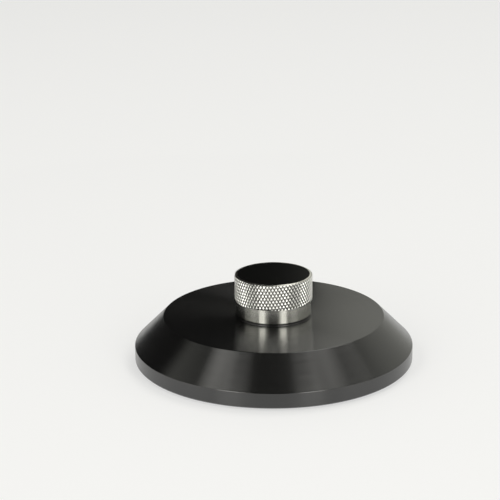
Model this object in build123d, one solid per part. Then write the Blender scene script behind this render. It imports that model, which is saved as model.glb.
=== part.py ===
from build123d import *
import os
from math import ceil, cos, pi, radians, sin, tan

# Record weight: a bevelled disc with a knurled grip knob, lowered over a turntable's spindle.
# Millimetres, +Z up. The origin is the centre of the felt's lower face, which rests on the label.

# Disc
disc_diameter = 100.0
bevel_width = 10.5
bevel_angle = 45.0
edge_height = 5.5
foot_chamfer = 0.5
bore_diameter = 7.3
bore_mouth_chamfer = 0.8

# Felt ring under the disc
felt_margin = 4.0
felt_thickness = 1.0
felt_screw_gap = 3.0

# Seat ring between disc and knob
ring_width = 1.7
ring_thickness = 0.88
ring_overhang = 0.3
ring_lip_height = 0.35
ring_lip_taper = 0.16
ring_waist_inset = 0.2

# Knob
knob_diameter = 28.0
neck_height = 5.02
neck_step = 0.18
head_height = 9.35
rim_step = 0.05
rim_width = 0.43
rim_drop = 0.25
spigot_diameter = 12.0
spigot_depth = 2.0
spigot_clearance = 0.05
spigot_end_gap = 0.1

# Knurling: two crossed sets of helical grooves, each angle taken from the knob's axis
knurl_pitch = 1.095
knurl_depth = 0.42
falling_angle = 33.0
rising_angle = 27.0

# Inlay in the knob's top
inlay_land = 0.15
inlay_thickness = 0.95
inlay_sink = 0.05
inlay_clearance = 0.05

# Countersunk socket screws from below
screw_count = 2
screw_diameter = 4.0
screw_head_diameter = 8.0
screw_sink = 0.2
screw_ring_gap = 0.3
screw_engagement = 8.5
screw_tip_gap = 1.0
screw_clearance = 0.2
thread_clearance = 0.05
socket_across_flats = 2.5
socket_depth = 1.8

# Radii
disc_radius = disc_diameter / 2
flat_radius = disc_radius - bevel_width
bore_radius = bore_diameter / 2
knob_radius = knob_diameter / 2
root_radius = knob_radius - knurl_depth
neck_radius = root_radius - neck_step
ring_outer_radius = neck_radius + ring_overhang
ring_inner_radius = ring_outer_radius - ring_width
ring_waist_radius = neck_radius - ring_waist_inset
rim_foot_radius = root_radius - rim_step
rim_radius = rim_foot_radius - rim_width
inlay_recess_radius = rim_radius - inlay_land
spigot_radius = spigot_diameter / 2
spigot_bore_radius = spigot_radius + spigot_clearance
screw_radius = screw_diameter / 2
screw_head_radius = screw_head_diameter / 2
screw_circle_radius = ring_inner_radius - screw_ring_gap - screw_radius
felt_outer_radius = disc_radius - felt_margin
felt_inner_radius = screw_circle_radius + screw_head_radius + felt_screw_gap

# Heights
disc_foot = felt_thickness
bevel_foot = disc_foot + edge_height
flat_top = bevel_foot + bevel_width * tan(radians(bevel_angle))
spigot_seat = flat_top - spigot_depth - spigot_end_gap
ring_lip_top = flat_top + ring_lip_height
knob_foot = flat_top + ring_thickness
neck_top = knob_foot + neck_height
knob_top = neck_top + head_height
knurl_top = knob_top - rim_drop
inlay_floor = knob_top - inlay_sink - inlay_thickness
screw_head_face = disc_foot + screw_sink
screw_tip = knob_foot + screw_engagement


def turned(*corners):
    """Revolves a half section. A corner is a radius, a height and, where its edge is broken, a chamfer."""
    section = make_face(Polyline(*[corner[:2] for corner in corners], close=True))
    for radius, height, length in [corner for corner in corners if len(corner) == 3]:
        section = chamfer(section.vertices().sort_by_distance((radius, height))[0], length)
    return revolve(Plane.XZ * section, Axis.Z)


def around_screw_circle(piece):
    """Copies of a piece on the knob's axis, moved out to each screw's place."""
    return PolarLocations(screw_circle_radius, screw_count) * piece


def screw_space(tip, clearance):
    """Room for a screw and a clearance, up to a tip, with its countersink carried on below the disc."""
    shank = screw_radius + clearance
    cone_point = screw_head_face + screw_head_radius + clearance
    return turned((0, 0), (cone_point, 0), (shank, cone_point - shank), (shank, tip), (0, tip))


def base_disc():
    """Bevelled disc with the spindle bore, the spigot's seat above it and the screw holes."""
    body = turned(
        (bore_radius, disc_foot, bore_mouth_chamfer),
        (disc_radius, disc_foot, foot_chamfer),
        (disc_radius, bevel_foot),
        (flat_radius, flat_top),
        (spigot_bore_radius, flat_top),
        (spigot_bore_radius, spigot_seat),
        (bore_radius, spigot_seat),
    )
    return body - around_screw_circle(screw_space(knob_foot, screw_clearance))


def felt_ring():
    """Flat felt ring glued to the disc's underside, clear of the screws."""
    return turned(
        (felt_inner_radius, 0),
        (felt_outer_radius, 0),
        (felt_outer_radius, disc_foot),
        (felt_inner_radius, disc_foot),
    )


def seat_ring():
    """Thin ring that the knob stands on, outside the screws, with a waist over a lip wider than the neck."""
    return turned(
        (ring_inner_radius, flat_top),
        (ring_outer_radius, flat_top),
        (ring_outer_radius - ring_lip_taper, ring_lip_top),
        (ring_waist_radius, ring_lip_top),
        (ring_waist_radius, knob_foot),
        (ring_inner_radius, knob_foot),
    )


def knurled_blank():
    """Post with knurling over a little more than the head's height, for the knob's section to trim.

    The grooves of the two sets run down to the root, and one pyramid stands in each diamond between them.
    """
    falling_grooves = round(2 * pi * knob_radius * cos(radians(falling_angle)) / knurl_pitch)
    rising_grooves = round(2 * pi * knob_radius * cos(radians(rising_angle)) / knurl_pitch)
    falling_lean = tan(radians(falling_angle)) / knob_radius
    rising_lean = tan(radians(rising_angle)) / knob_radius
    lean = falling_lean + rising_lean
    half_diamond = pi / lean * (1 / falling_grooves + 1 / rising_grooves)
    rows = ceil((head_height + half_diamond) * lean * rising_grooves / (2 * pi)) + 1
    end_below = flat_top - 2 * spigot_depth
    end_above = knob_top + 4 * half_diamond

    def rise(falling, rising):
        """Height above the neck where a falling and a rising groove cross."""
        return 2 * pi * (falling / falling_grooves - rising / rising_grooves) / lean

    def crossing(falling, rising, radius=root_radius):
        """Point where a falling and a rising groove cross, by their numbers round the knob."""
        shares = rising_lean * falling / falling_grooves + falling_lean * rising / rising_grooves
        turn = 2 * pi * shares / lean
        return Vector(radius * cos(turn), radius * sin(turn), neck_top + rise(falling, rising))

    def covered(falling, rising):
        """Whether the diamond between these two grooves and the next reaches into the head."""
        return rise(falling + 1, rising) > 0 and rise(falling, rising + 1) < head_height

    def plain_end(start, end, height):
        """Smooth wall from an edge of the outermost diamonds to an end of the post, with its sector."""
        start_foot = Vector(start.X, start.Y, height)
        end_foot = Vector(end.X, end.Y, height)
        wall = Face(Wire.make_polygon((end, start, start_foot, end_foot)))
        return [wall, Face(Wire.make_polygon((end_foot, start_foot, Vector(0, 0, height))))]

    faces = []
    for falling in range(falling_grooves):
        level = round(falling * rising_grooves / falling_grooves)
        for rising in range(level - rows, level + rows):
            if not covered(falling, rising):
                continue
            left = crossing(falling, rising)
            top = crossing(falling + 1, rising)
            right = crossing(falling + 1, rising + 1)
            foot = crossing(falling, rising + 1)
            peak = crossing(falling + 0.5, rising + 0.5, knob_radius)
            sides = (
                (left, foot, covered(falling - 1, rising), end_below),
                (foot, right, covered(falling, rising + 1), end_below),
                (right, top, covered(falling + 1, rising), end_above),
                (top, left, covered(falling, rising - 1), end_above),
            )
            for start, end, has_neighbour, post_end in sides:
                faces.append(Face(Wire.make_polygon((start, end, peak))))
                if not has_neighbour:
                    faces.extend(plain_end(start, end, post_end))
    return Solid(Shell(faces))


def knob():
    """Knob with its spigot and plain neck, the knurled head, and the seats of the inlay and the screws."""
    clear_of_teeth = knob_radius + knurl_depth
    section = turned(
        (0, flat_top - spigot_depth),
        (spigot_radius, flat_top - spigot_depth),
        (spigot_radius, knob_foot),
        (neck_radius, knob_foot),
        (neck_radius, neck_top),
        (clear_of_teeth, neck_top),
        (clear_of_teeth, knurl_top),
        (rim_foot_radius, knurl_top),
        (rim_radius, knob_top),
        (inlay_recess_radius, knob_top),
        (inlay_recess_radius, inlay_floor),
        (0, inlay_floor),
    )
    threads = around_screw_circle(screw_space(screw_tip + screw_tip_gap, thread_clearance))
    return knurled_blank() & (section - threads)


def knob_inlay():
    """Black disc that fills the recess in the knob's top."""
    inlay_radius = inlay_recess_radius - inlay_clearance
    inlay_top = inlay_floor + inlay_thickness
    return turned((0, inlay_floor), (inlay_radius, inlay_floor), (inlay_radius, inlay_top), (0, inlay_top))


def knob_screws():
    """Countersunk screws with a hexagon socket, heads down, on their circle round the bore."""
    screw = turned(
        (0, screw_head_face),
        (screw_head_radius, screw_head_face),
        (screw_radius, screw_head_face + screw_head_radius - screw_radius),
        (screw_radius, screw_tip),
        (0, screw_tip),
    )
    hexagon = RegularPolygon(socket_across_flats / 2, 6, major_radius=False)
    socket = extrude(Plane.XY.offset(screw_head_face) * hexagon, socket_depth)
    return Compound(around_screw_circle(screw - socket))


PIECES = (base_disc, felt_ring, seat_ring, knob, knob_inlay, knob_screws)

os.makedirs("parts", exist_ok=True)
for piece in PIECES:
    export_step(piece(), f"parts/{piece.__name__}.step")
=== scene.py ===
"""Record weight: a turned black disc on a felt ring, with a knurled metal knob to lift it by."""

import logging
from dataclasses import dataclass, field
from enum import Enum, IntEnum
from math import cos, pi, radians, sin
from typing import Any, Iterable, Mapping, Sequence

import bmesh
import bpy
from bmesh.types import BMFace
from bpy.types import Material, Node, NodeSocket, Object
from mathutils import Matrix, Vector


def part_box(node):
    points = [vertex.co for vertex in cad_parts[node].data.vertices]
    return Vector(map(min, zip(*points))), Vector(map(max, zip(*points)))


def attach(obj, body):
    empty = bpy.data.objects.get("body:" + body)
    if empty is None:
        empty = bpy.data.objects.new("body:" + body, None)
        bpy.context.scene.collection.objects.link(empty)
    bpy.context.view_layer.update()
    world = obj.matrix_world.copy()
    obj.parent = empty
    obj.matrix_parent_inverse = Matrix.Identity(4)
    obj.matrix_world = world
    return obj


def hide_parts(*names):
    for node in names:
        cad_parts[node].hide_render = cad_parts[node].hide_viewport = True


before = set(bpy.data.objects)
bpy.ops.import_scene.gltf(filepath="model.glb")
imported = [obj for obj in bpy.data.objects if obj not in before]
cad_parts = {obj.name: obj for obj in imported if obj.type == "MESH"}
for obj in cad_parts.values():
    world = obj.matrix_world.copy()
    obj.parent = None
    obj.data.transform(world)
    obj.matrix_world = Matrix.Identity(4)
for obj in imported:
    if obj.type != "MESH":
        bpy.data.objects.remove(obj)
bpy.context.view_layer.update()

MM = 0.001
NEAR = 0.0005 * MM
FLAT_ANGLE = radians(1)
CREASE_ANGLE = radians(32)
UP = Vector((0, 0, 1))
KNURL_ROOT_RADIUS = 13.58 * MM
SOFT_DETAIL = 2.0
FINE_DETAIL = 3.0
QUARTER_TURN = 0.25
LOG = logging.getLogger("record_weight")

Colour = tuple[float, float, float]


class Slot(Enum):
    """Material slots of the record, by name."""

    DISC = "black_anodised"
    FELT = "felt"
    RUBBER = "black_rubber"
    KNOB = "bright_aluminium"
    INLAY = "black_inlay"
    SCREWS = "screw_steel"


class KnobFinish(IntEnum):
    """The knob's two finishes, by their place in its list of materials."""

    TURNED = 0
    KNURLED = 1


class NodeSheet:
    """A material's nodes, with short ways to add a node and join it to others."""

    height_share: float = 0.618

    def __init__(self, name: str) -> None:
        """Starts a material that has only its surface shader and output.

        Args:
            name: The material's name.
        """
        self.material: Material = bpy.data.materials.new(name)
        self.material.use_nodes = True
        self.tree = self.material.node_tree
        self.surface: Node = self.tree.nodes["Principled BSDF"]

    def wire(self, node: Node, inputs: Mapping[str | int, Any]) -> None:
        """Sets a node's inputs, each from another node's socket or to a plain value.

        Args:
            node: The node to set.
            inputs: Sockets or values by the input's name or number.
        """
        for key, value in inputs.items():
            if isinstance(value, NodeSocket):
                self.tree.links.new(value, node.inputs[key])
            else:
                node.inputs[key].default_value = value

    def add(self, kind: str, inputs: Mapping[str | int, Any], **settings: Any) -> Node:
        """Adds a node.

        Args:
            kind: The node's type.
            inputs: Sockets or values by the input's name or number.
            **settings: The node's own properties.

        Returns:
            The new node.
        """
        node = self.tree.nodes.new(kind)
        for key, value in settings.items():
            setattr(node, key, value)
        self.wire(node, inputs)
        return node

    def math(self, operation: str, *terms: Any) -> NodeSocket:
        """Result of a sum on up to three terms, each a socket or a number."""
        return self.add("ShaderNodeMath", dict(enumerate(terms)), operation=operation).outputs[0]

    def place(self) -> NodeSocket:
        """The point's own place on the piece, in metres."""
        return self.add("ShaderNodeTexCoord", {}).outputs["Object"]

    def radius(self) -> NodeSocket:
        """Measures the distance from the axis.

        Returns:
            The distance, in metres.
        """
        flat = self.add("ShaderNodeVectorMath", {0: self.place(), 1: (1, 1, 0)}, operation="MULTIPLY")
        length = self.add("ShaderNodeVectorMath", {0: flat.outputs[0]}, operation="LENGTH")
        return length.outputs["Value"]

    def outline_length(self) -> NodeSocket:
        """A length that grows along any turned outline: the radius and a share of the height."""
        height = self.add("ShaderNodeSeparateXYZ", {0: self.place()}).outputs[2]
        return self.math("MULTIPLY_ADD", height, self.height_share, self.radius())

    def round_the_axis(self) -> NodeSocket:
        """Direction in which a tool runs round the piece as it turns."""
        turned = self.add("ShaderNodeVectorMath", {0: UP, 1: self.place()}, operation="CROSS_PRODUCT")
        return self.add("ShaderNodeVectorMath", {0: turned.outputs[0]}, operation="NORMALIZE").outputs[0]

    def noise(self, scale: float, detail: float, along: NodeSocket | None = None) -> NodeSocket:
        """Soft noise over the piece, or along one length of it.

        Args:
            scale: Features in a metre.
            detail: Octaves of finer noise.
            along: A length to follow instead of the point's place.

        Returns:
            The noise, from 0 to 1.
        """
        if along is None:
            inputs = {"Vector": self.place(), "Scale": scale, "Detail": detail}
            return self.add("ShaderNodeTexNoise", inputs).outputs[0]
        inputs = {"W": along, "Scale": scale, "Detail": detail}
        return self.add("ShaderNodeTexNoise", inputs, noise_dimensions="1D").outputs[0]

    def between(self, share: NodeSocket, low: float, high: float) -> NodeSocket:
        """A share from 0 to 1 stretched between two values."""
        return self.add("ShaderNodeMapRange", {0: share, 3: low, 4: high}).outputs[0]

    def tint(self, share: NodeSocket, low: Colour, high: Colour) -> NodeSocket:
        """A share from 0 to 1 turned into a colour between two others."""
        mix = self.add("ShaderNodeMix", {0: share, 6: (*low, 1), 7: (*high, 1)}, data_type="RGBA")
        return mix.outputs[2]

    def relief(self, height: NodeSocket, depth: float, over: NodeSocket | None = None) -> NodeSocket:
        """Surface direction with a shallow relief.

        Args:
            height: The relief, from 0 to 1.
            depth: Its depth in metres.
            over: A coarser relief to lie on.

        Returns:
            The surface direction.
        """
        inputs = {"Height": height, "Distance": depth, "Strength": 1.0}
        if over is not None:
            inputs["Normal"] = over
        return self.add("ShaderNodeBump", inputs).outputs[0]


@dataclass(frozen=True)
class TurnedMetal:
    """Lathe-turned surface whose fine marks run round the axis and smear reflections across them."""

    name: str
    dark: Colour
    light: Colour
    metallic: float
    ior: float
    roughness: tuple[float, float]
    anisotropy: float
    mark_scale: float
    mark_depth: float
    patch_scale: float = 90.0

    def material(self) -> Material:
        """Makes a material with turning marks that vary along the outline.

        Returns:
            The new material.
        """
        sheet = NodeSheet(self.name)
        marks = sheet.noise(self.mark_scale, FINE_DETAIL, sheet.outline_length())
        patches = sheet.noise(self.patch_scale, SOFT_DETAIL)
        sheet.wire(
            sheet.surface,
            {
                "Base Color": sheet.tint(patches, self.dark, self.light),
                "Metallic": self.metallic,
                "IOR": self.ior,
                "Roughness": sheet.between(marks, *self.roughness),
                "Anisotropic": self.anisotropy,
                "Anisotropic Rotation": QUARTER_TURN,
                "Tangent": sheet.round_the_axis(),
                "Normal": sheet.relief(marks, self.mark_depth),
            },
        )
        return sheet.material


@dataclass(frozen=True)
class KnurledMetal:
    """Rolled teeth, bright where hands have polished their tips, with painted shade that darkens them down
    into the grooves.
    """

    name: str
    # Painted shade: the groove colour stands for the shade that falls down in the grooves.
    groove: Colour
    tip: Colour
    groove_roughness: float
    tip_roughness: float
    root_radius: float
    unshaded_polished_radius: float
    grain_scale: float
    grain_depth: float

    def material(self) -> Material:
        """Makes a material whose colour goes from painted groove shade to the bright tip with the distance
        from the axis.

        Returns:
            The new material.
        """
        sheet = NodeSheet(self.name)
        grain = sheet.noise(self.grain_scale, FINE_DETAIL)
        # The colour darkens towards the root as painted shade; the roughness changes only a little.
        rise = {0: sheet.radius(), 1: self.root_radius, 2: self.unshaded_polished_radius, 3: 0.0, 4: 1.0}
        shade_and_polish = sheet.add("ShaderNodeMapRange", rise, interpolation_type="SMOOTHSTEP").outputs[0]
        sheet.wire(
            sheet.surface,
            {
                "Base Color": sheet.tint(shade_and_polish, self.groove, self.tip),
                "Metallic": 1.0,
                "Roughness": sheet.between(shade_and_polish, self.groove_roughness, self.tip_roughness),
                "Normal": sheet.relief(grain, self.grain_depth),
            },
        )
        return sheet.material


@dataclass(frozen=True)
class GrainedSurface:
    """Surface with an even grain: satin plastic, rubber or blackened steel."""

    name: str
    dark: Colour
    light: Colour
    metallic: float
    specular: float
    roughness: tuple[float, float]
    grain_scale: float
    grain_depth: float

    def material(self) -> Material:
        """Makes a material whose grain moves colour, gloss and relief together.

        Returns:
            The new material.
        """
        sheet = NodeSheet(self.name)
        grain = sheet.noise(self.grain_scale, FINE_DETAIL)
        sheet.wire(
            sheet.surface,
            {
                "Base Color": sheet.tint(grain, self.dark, self.light),
                "Metallic": self.metallic,
                "Specular IOR Level": self.specular,
                "Roughness": sheet.between(grain, *self.roughness),
                "Normal": sheet.relief(grain, self.grain_depth),
            },
        )
        return sheet.material


@dataclass(frozen=True)
class PressedFelt:
    """Dense black felt with short fibres lying every way."""

    name: str = "pressed_felt"
    dark: Colour = (0.014, 0.014, 0.015)
    light: Colour = (0.055, 0.055, 0.058)
    roughness: tuple[float, float] = (0.85, 1.0)
    sheen: float = 0.25
    sheen_roughness: float = 0.6
    fibre_scale: float = 2600.0
    fibre_detail: float = 4.0
    fibre_bend: float = 2.5
    fibre_depth: float = 0.12 * MM
    clump_scale: float = 420.0
    clump_depth: float = 0.1 * MM

    def material(self) -> Material:
        """Makes a material with bent fibres on soft clumps, and a faint sheen.

        Returns:
            The new material.
        """
        sheet = NodeSheet(self.name)
        clumps = sheet.noise(self.clump_scale, SOFT_DETAIL)
        fibre_inputs = {
            "Vector": sheet.place(),
            "Scale": self.fibre_scale,
            "Detail": self.fibre_detail,
            "Distortion": self.fibre_bend,
        }
        fibres = sheet.add("ShaderNodeTexNoise", fibre_inputs).outputs[0]
        coarse = sheet.relief(clumps, self.clump_depth)
        sheet.wire(
            sheet.surface,
            {
                "Base Color": sheet.tint(fibres, self.dark, self.light),
                "Roughness": sheet.between(clumps, *self.roughness),
                "Sheen Weight": self.sheen,
                "Sheen Roughness": self.sheen_roughness,
                "Normal": sheet.relief(fibres, self.fibre_depth, coarse),
            },
        )
        return sheet.material


ANODISED_TURNING = TurnedMetal(
    name="black_anodised_turning",
    dark=(0.0022, 0.0022, 0.0023),
    light=(0.0036, 0.0036, 0.0037),
    metallic=0.0,
    ior=1.8,
    roughness=(0.2, 0.25),
    anisotropy=0.97,
    mark_scale=1300.0,
    mark_depth=0.002 * MM,
)
BRIGHT_TURNING = TurnedMetal(
    name="bright_turning",
    dark=(0.73, 0.725, 0.68),
    light=(0.8, 0.795, 0.745),
    metallic=1.0,
    ior=1.5,
    roughness=(0.2, 0.27),
    anisotropy=0.8,
    mark_scale=2600.0,
    mark_depth=0.002 * MM,
)
KNURLED_METAL = KnurledMetal(
    name="knurled_metal",
    # Painted shade: the groove colour is darkened far below the metal's own tone; the tips keep the bright
    # metal.
    groove=(0.05, 0.05, 0.048),
    tip=(1.0, 0.995, 0.96),
    groove_roughness=0.32,
    tip_roughness=0.3,
    root_radius=KNURL_ROOT_RADIUS,
    unshaded_polished_radius=13.8 * MM,
    grain_scale=4200.0,
    grain_depth=0.003 * MM,
)
SATIN_INLAY = GrainedSurface(
    name="satin_inlay",
    dark=(0.0022, 0.0023, 0.0022),
    light=(0.004, 0.0041, 0.004),
    metallic=0.0,
    specular=0.045,
    roughness=(0.28, 0.36),
    grain_scale=3200.0,
    grain_depth=0.004 * MM,
)
BLACK_RUBBER = GrainedSurface(
    name="black_rubber",
    dark=(0.0022, 0.0022, 0.0022),
    light=(0.005, 0.005, 0.005),
    metallic=0.0,
    specular=0.6,
    roughness=(0.2, 0.3),
    grain_scale=1800.0,
    grain_depth=0.006 * MM,
)
BLACK_OXIDE = GrainedSurface(
    name="black_oxide_steel",
    dark=(0.045, 0.046, 0.05),
    light=(0.11, 0.11, 0.115),
    metallic=1.0,
    specular=0.5,
    roughness=(0.3, 0.45),
    grain_scale=2400.0,
    grain_depth=0.006 * MM,
)
FELT = PressedFelt()


@dataclass(frozen=True)
class Corner:
    """A corner of a turned outline, in metres, and the length that its rounding takes off each side."""

    radius: float
    height: float
    rounding: float = 0.0


class Turning:
    """A mesh in the making, shaped by turning outlines and filling the flat faces between them."""

    fine_steps: int = 320
    hole_steps: int = 64
    round_segments: int = 4

    def __init__(self) -> None:
        """Starts with no faces."""
        self.bm = bmesh.new()

    def turn(self, corners: Sequence[Corner], centre: Vector = Vector(), closed: bool = False) -> None:
        """Turns an outline once round an upright axis, its corners rounded first.

        Args:
            corners: The outline, from end to end.
            centre: Where the axis stands.
            closed: Whether the last corner joins the first.
        """
        points = [self.bm.verts.new(centre + Vector((c.radius, 0, c.height))) for c in corners]
        followers = points[1:] + points[:1] if closed else points[1:]
        for pair in zip(points, followers):
            self.bm.edges.new(pair)
        for corner, point in zip(corners, points):
            if corner.rounding:
                bmesh.ops.bevel(
                    self.bm,
                    geom=[point],
                    offset=corner.rounding,
                    segments=self.round_segments,
                    profile=0.5,
                    affect="VERTICES",
                    material=-1,
                )
        wires = [edge for edge in self.bm.edges if edge.is_wire]
        ends = dict.fromkeys(vert for edge in wires for vert in edge.verts)
        bmesh.ops.spin(
            self.bm,
            geom=[*ends, *wires],
            cent=centre,
            axis=UP,
            angle=2 * pi,
            steps=self.hole_steps if centre.length else self.fine_steps,
            use_merge=True,
            use_duplicate=False,
        )

    def fill(self, height: float, finish: int = 0) -> None:
        """Fills the flat face between all the open rims at a height.

        Args:
            height: The rims' height.
            finish: Index of the new faces' material.
        """
        rims = [
            edge
            for edge in self.bm.edges
            if len(edge.link_faces) < 2 and all(abs(vert.co.z - height) < NEAR for vert in edge.verts)
        ]
        filled = bmesh.ops.triangle_fill(self.bm, use_beauty=True, edges=rims, normal=UP)
        for face in filled["geom"]:
            if isinstance(face, BMFace):
                face.material_index = finish

    def piece(self, name: str, node: str, slot: Slot, finishes: Sequence[Material]) -> Object:
        """Makes the mesh an object that stands for a CAD node and rides on the part's only body.

        Its faces shade smoothly up to a crease. In any finish but the first, only a groove is a crease.

        Args:
            name: The piece's name.
            node: The CAD node that it replaces.
            slot: The record's slot that its finish belongs to. Not used.
            finishes: Its materials, in order of their index.

        Returns:
            The new object.
        """
        bmesh.ops.remove_doubles(self.bm, verts=self.bm.verts, dist=NEAR)
        bmesh.ops.recalc_face_normals(self.bm, faces=self.bm.faces)
        for face in self.bm.faces:
            face.smooth = True
        for edge in self.bm.edges:
            bend = edge.calc_face_angle_signed(0.0)
            is_worn = all(face.material_index for face in edge.link_faces)
            edge.smooth = bend > -CREASE_ANGLE and (is_worn or bend < CREASE_ANGLE)
        mesh = bpy.data.meshes.new(name)
        self.bm.to_mesh(mesh)
        self.bm.free()
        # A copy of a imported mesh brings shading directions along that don't fit the worn teeth.
        if mesh.has_custom_normals:
            mesh.attributes.remove(mesh.attributes["custom_normal"])
        for finish in finishes:
            mesh.materials.append(finish)
        piece = bpy.data.objects.new(name, mesh)
        bpy.context.scene.collection.objects.link(piece)
        normals = piece.modifiers.new("level_faces", "WEIGHTED_NORMAL")
        normals.keep_sharp = True
        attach(piece, "root")
        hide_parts(node)
        LOG.info("%s stands for %s with %d faces", name, node, len(mesh.polygons))
        return piece


@dataclass
class Fixing:
    """The screws that hold the knob from below, and the holes that they need."""

    shank_radius: float = 2.0 * MM
    hole_clearance: float = 0.2 * MM
    thread_clearance: float = 0.05 * MM
    tip_gap: float = 1.0 * MM
    head_radius: float = field(init=False)
    head_face: float = field(init=False)
    tip: float = field(init=False)
    centres: list[Vector] = field(init=False)

    def __post_init__(self) -> None:
        """Takes the screws' places from the imported screws."""
        low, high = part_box("knob_screws")
        self.head_radius = high.y
        self.head_face = low.z
        self.tip = high.z
        circle_radius = high.x - high.y
        self.centres = [Vector((circle_radius, 0, 0)), Vector((-circle_radius, 0, 0))]

    def countersunk_holes(self, turning: Turning, foot: float, top: float) -> None:
        """Turns the walls of the holes through the disc.

        Args:
            turning: The disc in the making.
            foot: Height of the disc's underside.
            top: Height of its flat top.
        """
        cone_point = self.head_face + self.head_radius + self.hole_clearance
        shank = self.shank_radius + self.hole_clearance
        for centre in self.centres:
            walls = [Corner(cone_point - foot, foot), Corner(shank, cone_point - shank), Corner(shank, top)]
            turning.turn(walls, centre)

    def threaded_holes(self, turning: Turning, foot: float) -> None:
        """Turns the walls of the blind holes in the knob.

        Args:
            turning: The knob in the making.
            foot: Height of the knob's foot.
        """
        radius = self.shank_radius + self.thread_clearance
        end = self.tip + self.tip_gap
        for centre in self.centres:
            turning.turn([Corner(radius, foot), Corner(radius, end), Corner(0, end)], centre)

    def dress(self) -> None:
        """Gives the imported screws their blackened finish."""
        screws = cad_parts["knob_screws"]
        screws.data.materials.clear()
        screws.data.materials.append(BLACK_OXIDE.material())
        LOG.info("knob_screws keeps its solid, with %s", BLACK_OXIDE.name)


@dataclass
class Base:
    """The bevelled disc and the felt ring under it."""

    fixing: Fixing
    bevel_width: float = 10.5 * MM
    edge_height: float = 5.5 * MM
    foot_chamfer: float = 0.5 * MM
    edge_rounding: float = 0.12 * MM
    bore_radius: float = 3.65 * MM
    mouth_chamfer: float = 0.8 * MM
    seat_radius: float = 6.05 * MM
    seat_depth: float = 2.1 * MM
    felt_inner_radius: float = 16.7 * MM
    felt_rounding: float = 0.22 * MM

    def build_disc(self) -> Object:
        """Turns the disc, bores it and fills its flat faces.

        Returns:
            The disc.
        """
        low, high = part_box("base_disc")
        radius, foot, top = high.x, low.z, high.z
        seat = top - self.seat_depth
        bore_mouth = self.bore_radius + self.mouth_chamfer
        turning = Turning()
        turning.turn(
            [
                Corner(radius - self.foot_chamfer, foot),
                Corner(radius, foot + self.foot_chamfer, self.edge_rounding),
                Corner(radius, foot + self.edge_height, self.edge_rounding),
                Corner(radius - self.bevel_width + self.edge_rounding, top - self.edge_rounding),
                Corner(radius - self.bevel_width - self.edge_rounding, top),
            ]
        )
        turning.turn(
            [
                Corner(self.seat_radius, top),
                Corner(self.seat_radius, seat),
                Corner(self.bore_radius, seat),
                Corner(self.bore_radius, foot + self.mouth_chamfer),
                Corner(bore_mouth, foot),
            ]
        )
        self.fixing.countersunk_holes(turning, foot, top)
        turning.fill(foot)
        turning.fill(top)
        return turning.piece("turned_disc", "base_disc", Slot.DISC, [ANODISED_TURNING.material()])

    def build_felt(self) -> Object:
        """Turns the felt ring, its cut edges a little rounded.

        Returns:
            The felt ring.
        """
        low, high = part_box("felt_ring")
        turning = Turning()
        turning.turn(
            [
                Corner(self.felt_inner_radius, low.z, self.felt_rounding),
                Corner(high.x, low.z, self.felt_rounding),
                Corner(high.x, high.z),
                Corner(self.felt_inner_radius, high.z),
            ],
            closed=True,
        )
        return turning.piece("felt_pad", "felt_ring", Slot.FELT, [FELT.material()])


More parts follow.
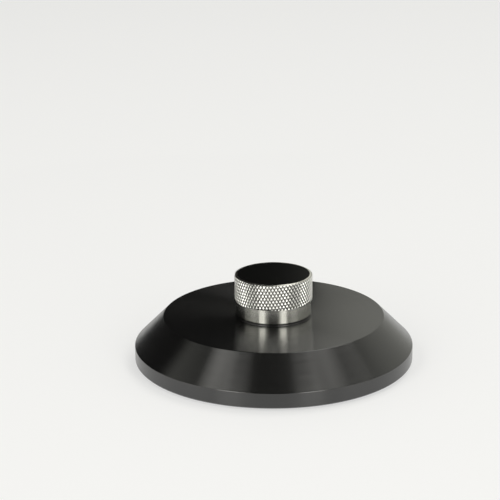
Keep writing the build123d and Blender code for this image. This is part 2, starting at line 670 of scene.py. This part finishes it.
@dataclass
class Grip:
    """The knob with its seat ring below and its black inlay on top."""

    fixing: Fixing
    neck_radius: float = 13.4 * MM
    neck_height: float = 5.02 * MM
    root_radius: float = KNURL_ROOT_RADIUS
    rim_foot_radius: float = 13.53 * MM
    rim_width: float = 0.43 * MM
    rim_drop: float = 0.25 * MM
    inlay_land: float = 0.15 * MM
    inlay_rounding: float = 0.06 * MM
    spigot_radius: float = 6.0 * MM
    ridge_wear: float = 0.11 * MM
    smallest_worn_face: float = 0.2 * MM * MM
    ring_inner_radius: float = 12.0 * MM
    ring_waist_radius: float = 13.2 * MM
    ring_lip_height: float = 0.35 * MM
    ring_lip_taper: float = 0.16 * MM
    ring_rounding: float = 0.05 * MM

    def build_ring(self) -> Object:
        """Turns the thin ring that the knob stands on, its waist over a tapered lip.

        Returns:
            The seat ring.
        """
        low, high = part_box("seat_ring")
        lip_top = low.z + self.ring_lip_height
        turning = Turning()
        turning.turn(
            [
                Corner(self.ring_inner_radius, low.z),
                Corner(high.x, low.z, self.ring_rounding),
                Corner(high.x - self.ring_lip_taper, lip_top, self.ring_rounding),
                Corner(self.ring_waist_radius, lip_top, self.ring_rounding),
                Corner(self.ring_waist_radius, high.z),
                Corner(self.ring_inner_radius, high.z),
            ],
            closed=True,
        )
        return turning.piece("rubber_seat", "seat_ring", Slot.RUBBER, [BLACK_RUBBER.material()])

    def add_knurling(self, turning: Turning, foot: float, top: float) -> None:
        """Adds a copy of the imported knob's teeth, freed of its plain faces, with a flat kept in each face.

        Round that flat a face bends softly over to its neighbours across the worn ridges.

        Args:
            turning: The knob in the making, which has no other faces yet.
            foot: Height where the teeth begin.
            top: Height where they end.
        """
        bm = turning.bm
        bm.from_mesh(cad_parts["knob"].data)
        bmesh.ops.remove_doubles(bm, verts=bm.verts, dist=NEAR)
        inside = (self.neck_radius + self.root_radius) / 2
        plain = [
            face
            for face in bm.faces
            if face.calc_center_median().xy.length < inside
            or all(abs(vert.co.z - foot) < NEAR for vert in face.verts)
            or all(abs(vert.co.z - top) < NEAR for vert in face.verts)
        ]
        bmesh.ops.delete(bm, geom=plain, context="FACES")
        bmesh.ops.dissolve_limit(bm, angle_limit=FLAT_ANGLE, verts=bm.verts, edges=bm.edges)
        whole = [face for face in bm.faces if face.calc_area() > self.smallest_worn_face]
        bmesh.ops.inset_individual(bm, faces=whole, thickness=self.ridge_wear, use_even_offset=True)
        for face in bm.faces:
            face.material_index = KnobFinish.KNURLED

    def build_knob(self) -> Object:
        """Joins the knurled band to a turned neck and rim.

        Returns:
            The knob.
        """
        low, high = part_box("knob")
        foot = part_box("seat_ring")[1].z
        neck_top = foot + self.neck_height
        knurl_top = high.z - self.rim_drop
        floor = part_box("knob_inlay")[0].z
        rim_radius = self.rim_foot_radius - self.rim_width
        recess_radius = rim_radius - self.inlay_land
        turning = Turning()
        self.add_knurling(turning, neck_top, knurl_top)
        turning.turn(
            [
                Corner(0, low.z),
                Corner(self.spigot_radius, low.z),
                Corner(self.spigot_radius, foot),
            ]
        )
        self.fixing.threaded_holes(turning, foot)
        turning.turn([Corner(self.neck_radius, foot), Corner(self.neck_radius, neck_top)])
        turning.turn(
            [
                Corner(self.rim_foot_radius, knurl_top),
                Corner(rim_radius, high.z),
                Corner(recess_radius, high.z),
                Corner(recess_radius, floor),
                Corner(0, floor),
            ]
        )
        turning.fill(foot, KnobFinish.TURNED)
        turning.fill(neck_top, KnobFinish.KNURLED)
        turning.fill(knurl_top, KnobFinish.KNURLED)
        dressing = {KnobFinish.TURNED: BRIGHT_TURNING, KnobFinish.KNURLED: KNURLED_METAL}
        finishes = [dressing[finish].material() for finish in KnobFinish]
        return turning.piece("knurled_knob", "knob", Slot.KNOB, finishes)

    def build_inlay(self) -> Object:
        """Turns the black disc in the knob's top.

        Returns:
            The inlay.
        """
        low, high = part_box("knob_inlay")
        turning = Turning()
        turning.turn(
            [
                Corner(0, low.z),
                Corner(high.x, low.z),
                Corner(high.x, high.z, self.inlay_rounding),
                Corner(0, high.z),
            ]
        )
        return turning.piece("satin_inlay", "knob_inlay", Slot.INLAY, [SATIN_INLAY.material()])


@dataclass(frozen=True)
class PhotoView:
    """The photograph's camera, found from the ellipses of the disc's flat top and the knob."""

    frame_pixels: float = 500.0
    focal_pixels: float = 1701.7
    pitch: float = radians(17.52)
    roll: float = radians(-0.44)
    distance: float = 611.8 * MM
    flat_top_pixel: tuple[float, float] = (273.56, 313.70)
    sensor: float = 36.0
    nearest: float = 10 * MM
    farthest: float = 20.0

    def place(self) -> Object:
        """Sets up the scene's camera so that the flat top's centre falls on its pixel.

        Returns:
            The camera.
        """
        forward = Vector((0, cos(self.pitch), -sin(self.pitch)))
        level_up = Vector((0, sin(self.pitch), cos(self.pitch)))
        level_right = Vector((1, 0, 0))
        right = cos(self.roll) * level_right + sin(self.roll) * level_up
        up = -sin(self.roll) * level_right + cos(self.roll) * level_up
        across = (self.flat_top_pixel[0] - self.frame_pixels / 2) / self.focal_pixels
        above = (self.frame_pixels / 2 - self.flat_top_pixel[1]) / self.focal_pixels
        target = Vector((0, 0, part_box("base_disc")[1].z))
        eye = target - (forward + across * right + above * up) * self.distance
        data = bpy.data.cameras.new("photo_view")
        data.sensor_width = self.sensor
        data.lens = self.sensor * self.focal_pixels / self.frame_pixels
        data.clip_start = self.nearest
        data.clip_end = self.farthest
        camera = bpy.data.objects.new("photo_view", data)
        camera.matrix_world = Matrix.Translation(eye) @ Matrix((right, up, -forward)).transposed().to_4x4()
        bpy.context.scene.collection.objects.link(camera)
        bpy.context.scene.camera = camera
        return camera


def direction(azimuth: float, elevation: float) -> Vector:
    """Unit vector from the object.

    Args:
        azimuth: Degrees to the right of the camera's side.
        elevation: Degrees above the horizon.

    Returns:
        The direction.
    """
    turn, rise = radians(azimuth), radians(elevation)
    return Vector((sin(turn) * cos(rise), -cos(turn) * cos(rise), sin(rise)))


@dataclass(frozen=True)
class Softbox:
    """A diffused lamp that faces the object, in degrees and metres. A brightness of 1 looks white."""

    name: str
    azimuth: float
    elevation: float
    distance: float
    width: float
    height: float
    brightness: float
    colour: Colour = (1.0, 0.99, 0.94)

    def light(self) -> Object:
        """Hangs the lamp. Its power follows from its brightness and its area.

        Returns:
            The lamp.
        """
        data = bpy.data.lights.new(self.name, "AREA")
        data.shape = "RECTANGLE"
        data.size = self.width
        data.size_y = self.height
        data.energy = self.brightness * pi * self.width * self.height
        data.color = self.colour
        toward = direction(self.azimuth, self.elevation)
        lamp = bpy.data.objects.new(self.name, data)
        lamp.location = toward * self.distance
        lamp.visible_camera = False
        lamp.rotation_mode = "QUATERNION"
        lamp.rotation_quaternion = toward.to_track_quat("Z", "Y")
        bpy.context.scene.collection.objects.link(lamp)
        return lamp


@dataclass(frozen=True)
class Flag:
    """A black card, bent round the object, that is seen only in gloss. In degrees and metres."""

    name: str
    azimuths: tuple[float, float]
    elevations: tuple[float, float]
    distance: float
    steps: int = 24
    colour: Colour = (0.004, 0.004, 0.004)
    roughness: float = 0.9

    def stand(self) -> Object:
        """Bends the card round the object from one azimuth to the other.

        Returns:
            The card.
        """
        bm = bmesh.new()
        first, last = self.azimuths
        ends = [bm.verts.new(direction(first, rise) * self.distance) for rise in self.elevations]
        edge = bm.edges.new(ends)
        bmesh.ops.spin(
            bm,
            geom=[*ends, edge],
            cent=(0, 0, 0),
            axis=UP,
            angle=radians(last - first),
            steps=self.steps,
        )
        mesh = bpy.data.meshes.new(self.name)
        bm.to_mesh(mesh)
        bm.free()
        sheet = NodeSheet(self.name)
        sheet.wire(sheet.surface, {"Base Color": (*self.colour, 1), "Roughness": self.roughness})
        mesh.materials.append(sheet.material)
        card = bpy.data.objects.new(self.name, mesh)
        card.visible_camera = False
        card.visible_diffuse = False
        card.visible_shadow = False
        bpy.context.scene.collection.objects.link(card)
        return card


@dataclass(frozen=True)
class Studio:
    """Pale floor, pale walls under a darker ceiling, softboxes and black cards."""

    floor_radius: float = 4.0
    floor_segments: int = 96
    floor_colour: Colour = (0.9, 0.9, 0.9)
    floor_patch_shade: float = 0.985
    floor_patch_scale: float = 6.0
    floor_roughness: float = 0.75
    floor_specular: float = 0.2
    floor_whiteness: float = 0.55
    wall_colour: Colour = (1.0, 1.0, 0.91)
    wall_brightness: float = 0.64
    ceiling_brightness: float = 0.06
    wall_top: float = sin(radians(30))
    ceiling_edge: float = sin(radians(55))
    softboxes: tuple[Softbox, ...] = (
        Softbox(
            name="left_softbox",
            azimuth=-36,
            elevation=25,
            distance=1.3,
            width=0.42,
            height=1.0,
            brightness=4.3,
        ),
        Softbox(
            name="right_softbox",
            azimuth=30,
            elevation=25,
            distance=1.3,
            width=0.42,
            height=1.0,
            brightness=4.3,
        ),
        Softbox(
            name="left_overhead",
            azimuth=-74,
            elevation=57,
            distance=1.3,
            width=0.3,
            height=0.4,
            brightness=2.2,
        ),
        Softbox(
            name="right_overhead",
            azimuth=76,
            elevation=61,
            distance=1.3,
            width=0.32,
            height=0.4,
            brightness=1.35,
        ),
        Softbox(
            name="left_panel",
            azimuth=-65,
            elevation=11,
            distance=1.2,
            width=0.5,
            height=0.4,
            brightness=0.95,
        ),
        Softbox(
            name="right_panel",
            azimuth=65,
            elevation=11,
            distance=1.2,
            width=0.5,
            height=0.4,
            brightness=1.05,
        ),
        Softbox(
            name="top_softbox",
            azimuth=140,
            elevation=64,
            distance=1.5,
            width=1.0,
            height=0.8,
            brightness=2.4,
        ),
    )
    flags: tuple[Flag, ...] = (
        Flag("camera_flag", azimuths=(-17, 13), elevations=(-2, 40), distance=1.0),
        Flag("rear_flag", azimuths=(-186, -97), elevations=(0, 75), distance=0.3),
    )

    def lay_floor(self) -> Object:
        """Lays the floor at the object's foot, white as seen, with the object's shadow on it.

        Returns:
            The floor.
        """
        bm = bmesh.new()
        bmesh.ops.create_circle(
            bm, cap_ends=True, segments=self.floor_segments, radius=self.floor_radius
        )
        mesh = bpy.data.meshes.new("floor")
        bm.to_mesh(mesh)
        bm.free()
        sheet = NodeSheet("floor")
        paint = sheet.noise(self.floor_patch_scale, SOFT_DETAIL)
        low = tuple(self.floor_patch_shade * channel for channel in self.floor_colour)
        sheet.wire(
            sheet.surface,
            {
                "Base Color": sheet.tint(paint, low, self.floor_colour),
                "Roughness": self.floor_roughness,
                "Specular IOR Level": self.floor_specular,
            },
        )
        path = sheet.add("ShaderNodeLightPath", {}).outputs
        glossy = sheet.math("MAXIMUM", path["Is Glossy Ray"], path["Is Transmission Ray"])
        seen = sheet.math("MAXIMUM", path["Is Camera Ray"], glossy)
        white = sheet.add("ShaderNodeEmission", {"Color": (1, 1, 1, 1), "Strength": 1.0})
        mix = sheet.add(
            "ShaderNodeMixShader",
            {
                0: sheet.math("MULTIPLY", seen, self.floor_whiteness),
                1: sheet.surface.outputs[0],
                2: white.outputs[0],
            },
        )
        sheet.wire(sheet.tree.nodes["Material Output"], {"Surface": mix.outputs[0]})
        mesh.materials.append(sheet.material)
        floor = bpy.data.objects.new("floor", mesh)
        bpy.context.scene.collection.objects.link(floor)
        return floor

    def paint_world(self) -> None:
        """Paints the walls pale and the ceiling darker, by height above the horizon."""
        world = bpy.data.worlds.new("studio")
        world.use_nodes = True
        world.cycles.sampling_method = "NONE"
        bpy.context.scene.world = world
        tree = world.node_tree
        place = tree.nodes.new("ShaderNodeTexCoord")
        parts = tree.nodes.new("ShaderNodeSeparateXYZ")
        fall = tree.nodes.new("ShaderNodeMapRange")
        fall.interpolation_type = "SMOOTHSTEP"
        settings = (self.wall_top, self.ceiling_edge, self.wall_brightness, self.ceiling_brightness)
        for socket, value in zip(fall.inputs[1:5], settings):
            socket.default_value = value
        tree.links.new(place.outputs["Generated"], parts.inputs[0])
        tree.links.new(parts.outputs[2], fall.inputs[0])
        tree.links.new(fall.outputs[0], tree.nodes["Background"].inputs["Strength"])
        tree.nodes["Background"].inputs["Color"].default_value = (*self.wall_colour, 1)

    def build(self) -> None:
        """Sets up the floor, the walls, the lamps and the cards."""
        self.lay_floor()
        self.paint_world()
        for softbox in self.softboxes:
            softbox.light()
        for flag in self.flags:
            flag.stand()
        bpy.context.scene.view_settings.view_transform = "Standard"


def main() -> None:
    """Builds the pieces in order, then the camera and the studio."""
    logging.basicConfig(level=logging.INFO, format="%(name)s: %(message)s")
    fixing = Fixing()
    base = Base(fixing)
    grip = Grip(fixing)
    base.build_disc()
    base.build_felt()
    grip.build_ring()
    grip.build_knob()
    grip.build_inlay()
    fixing.dress()
    PhotoView().place()
    Studio().build()


if __name__ == "__main__":
    main()
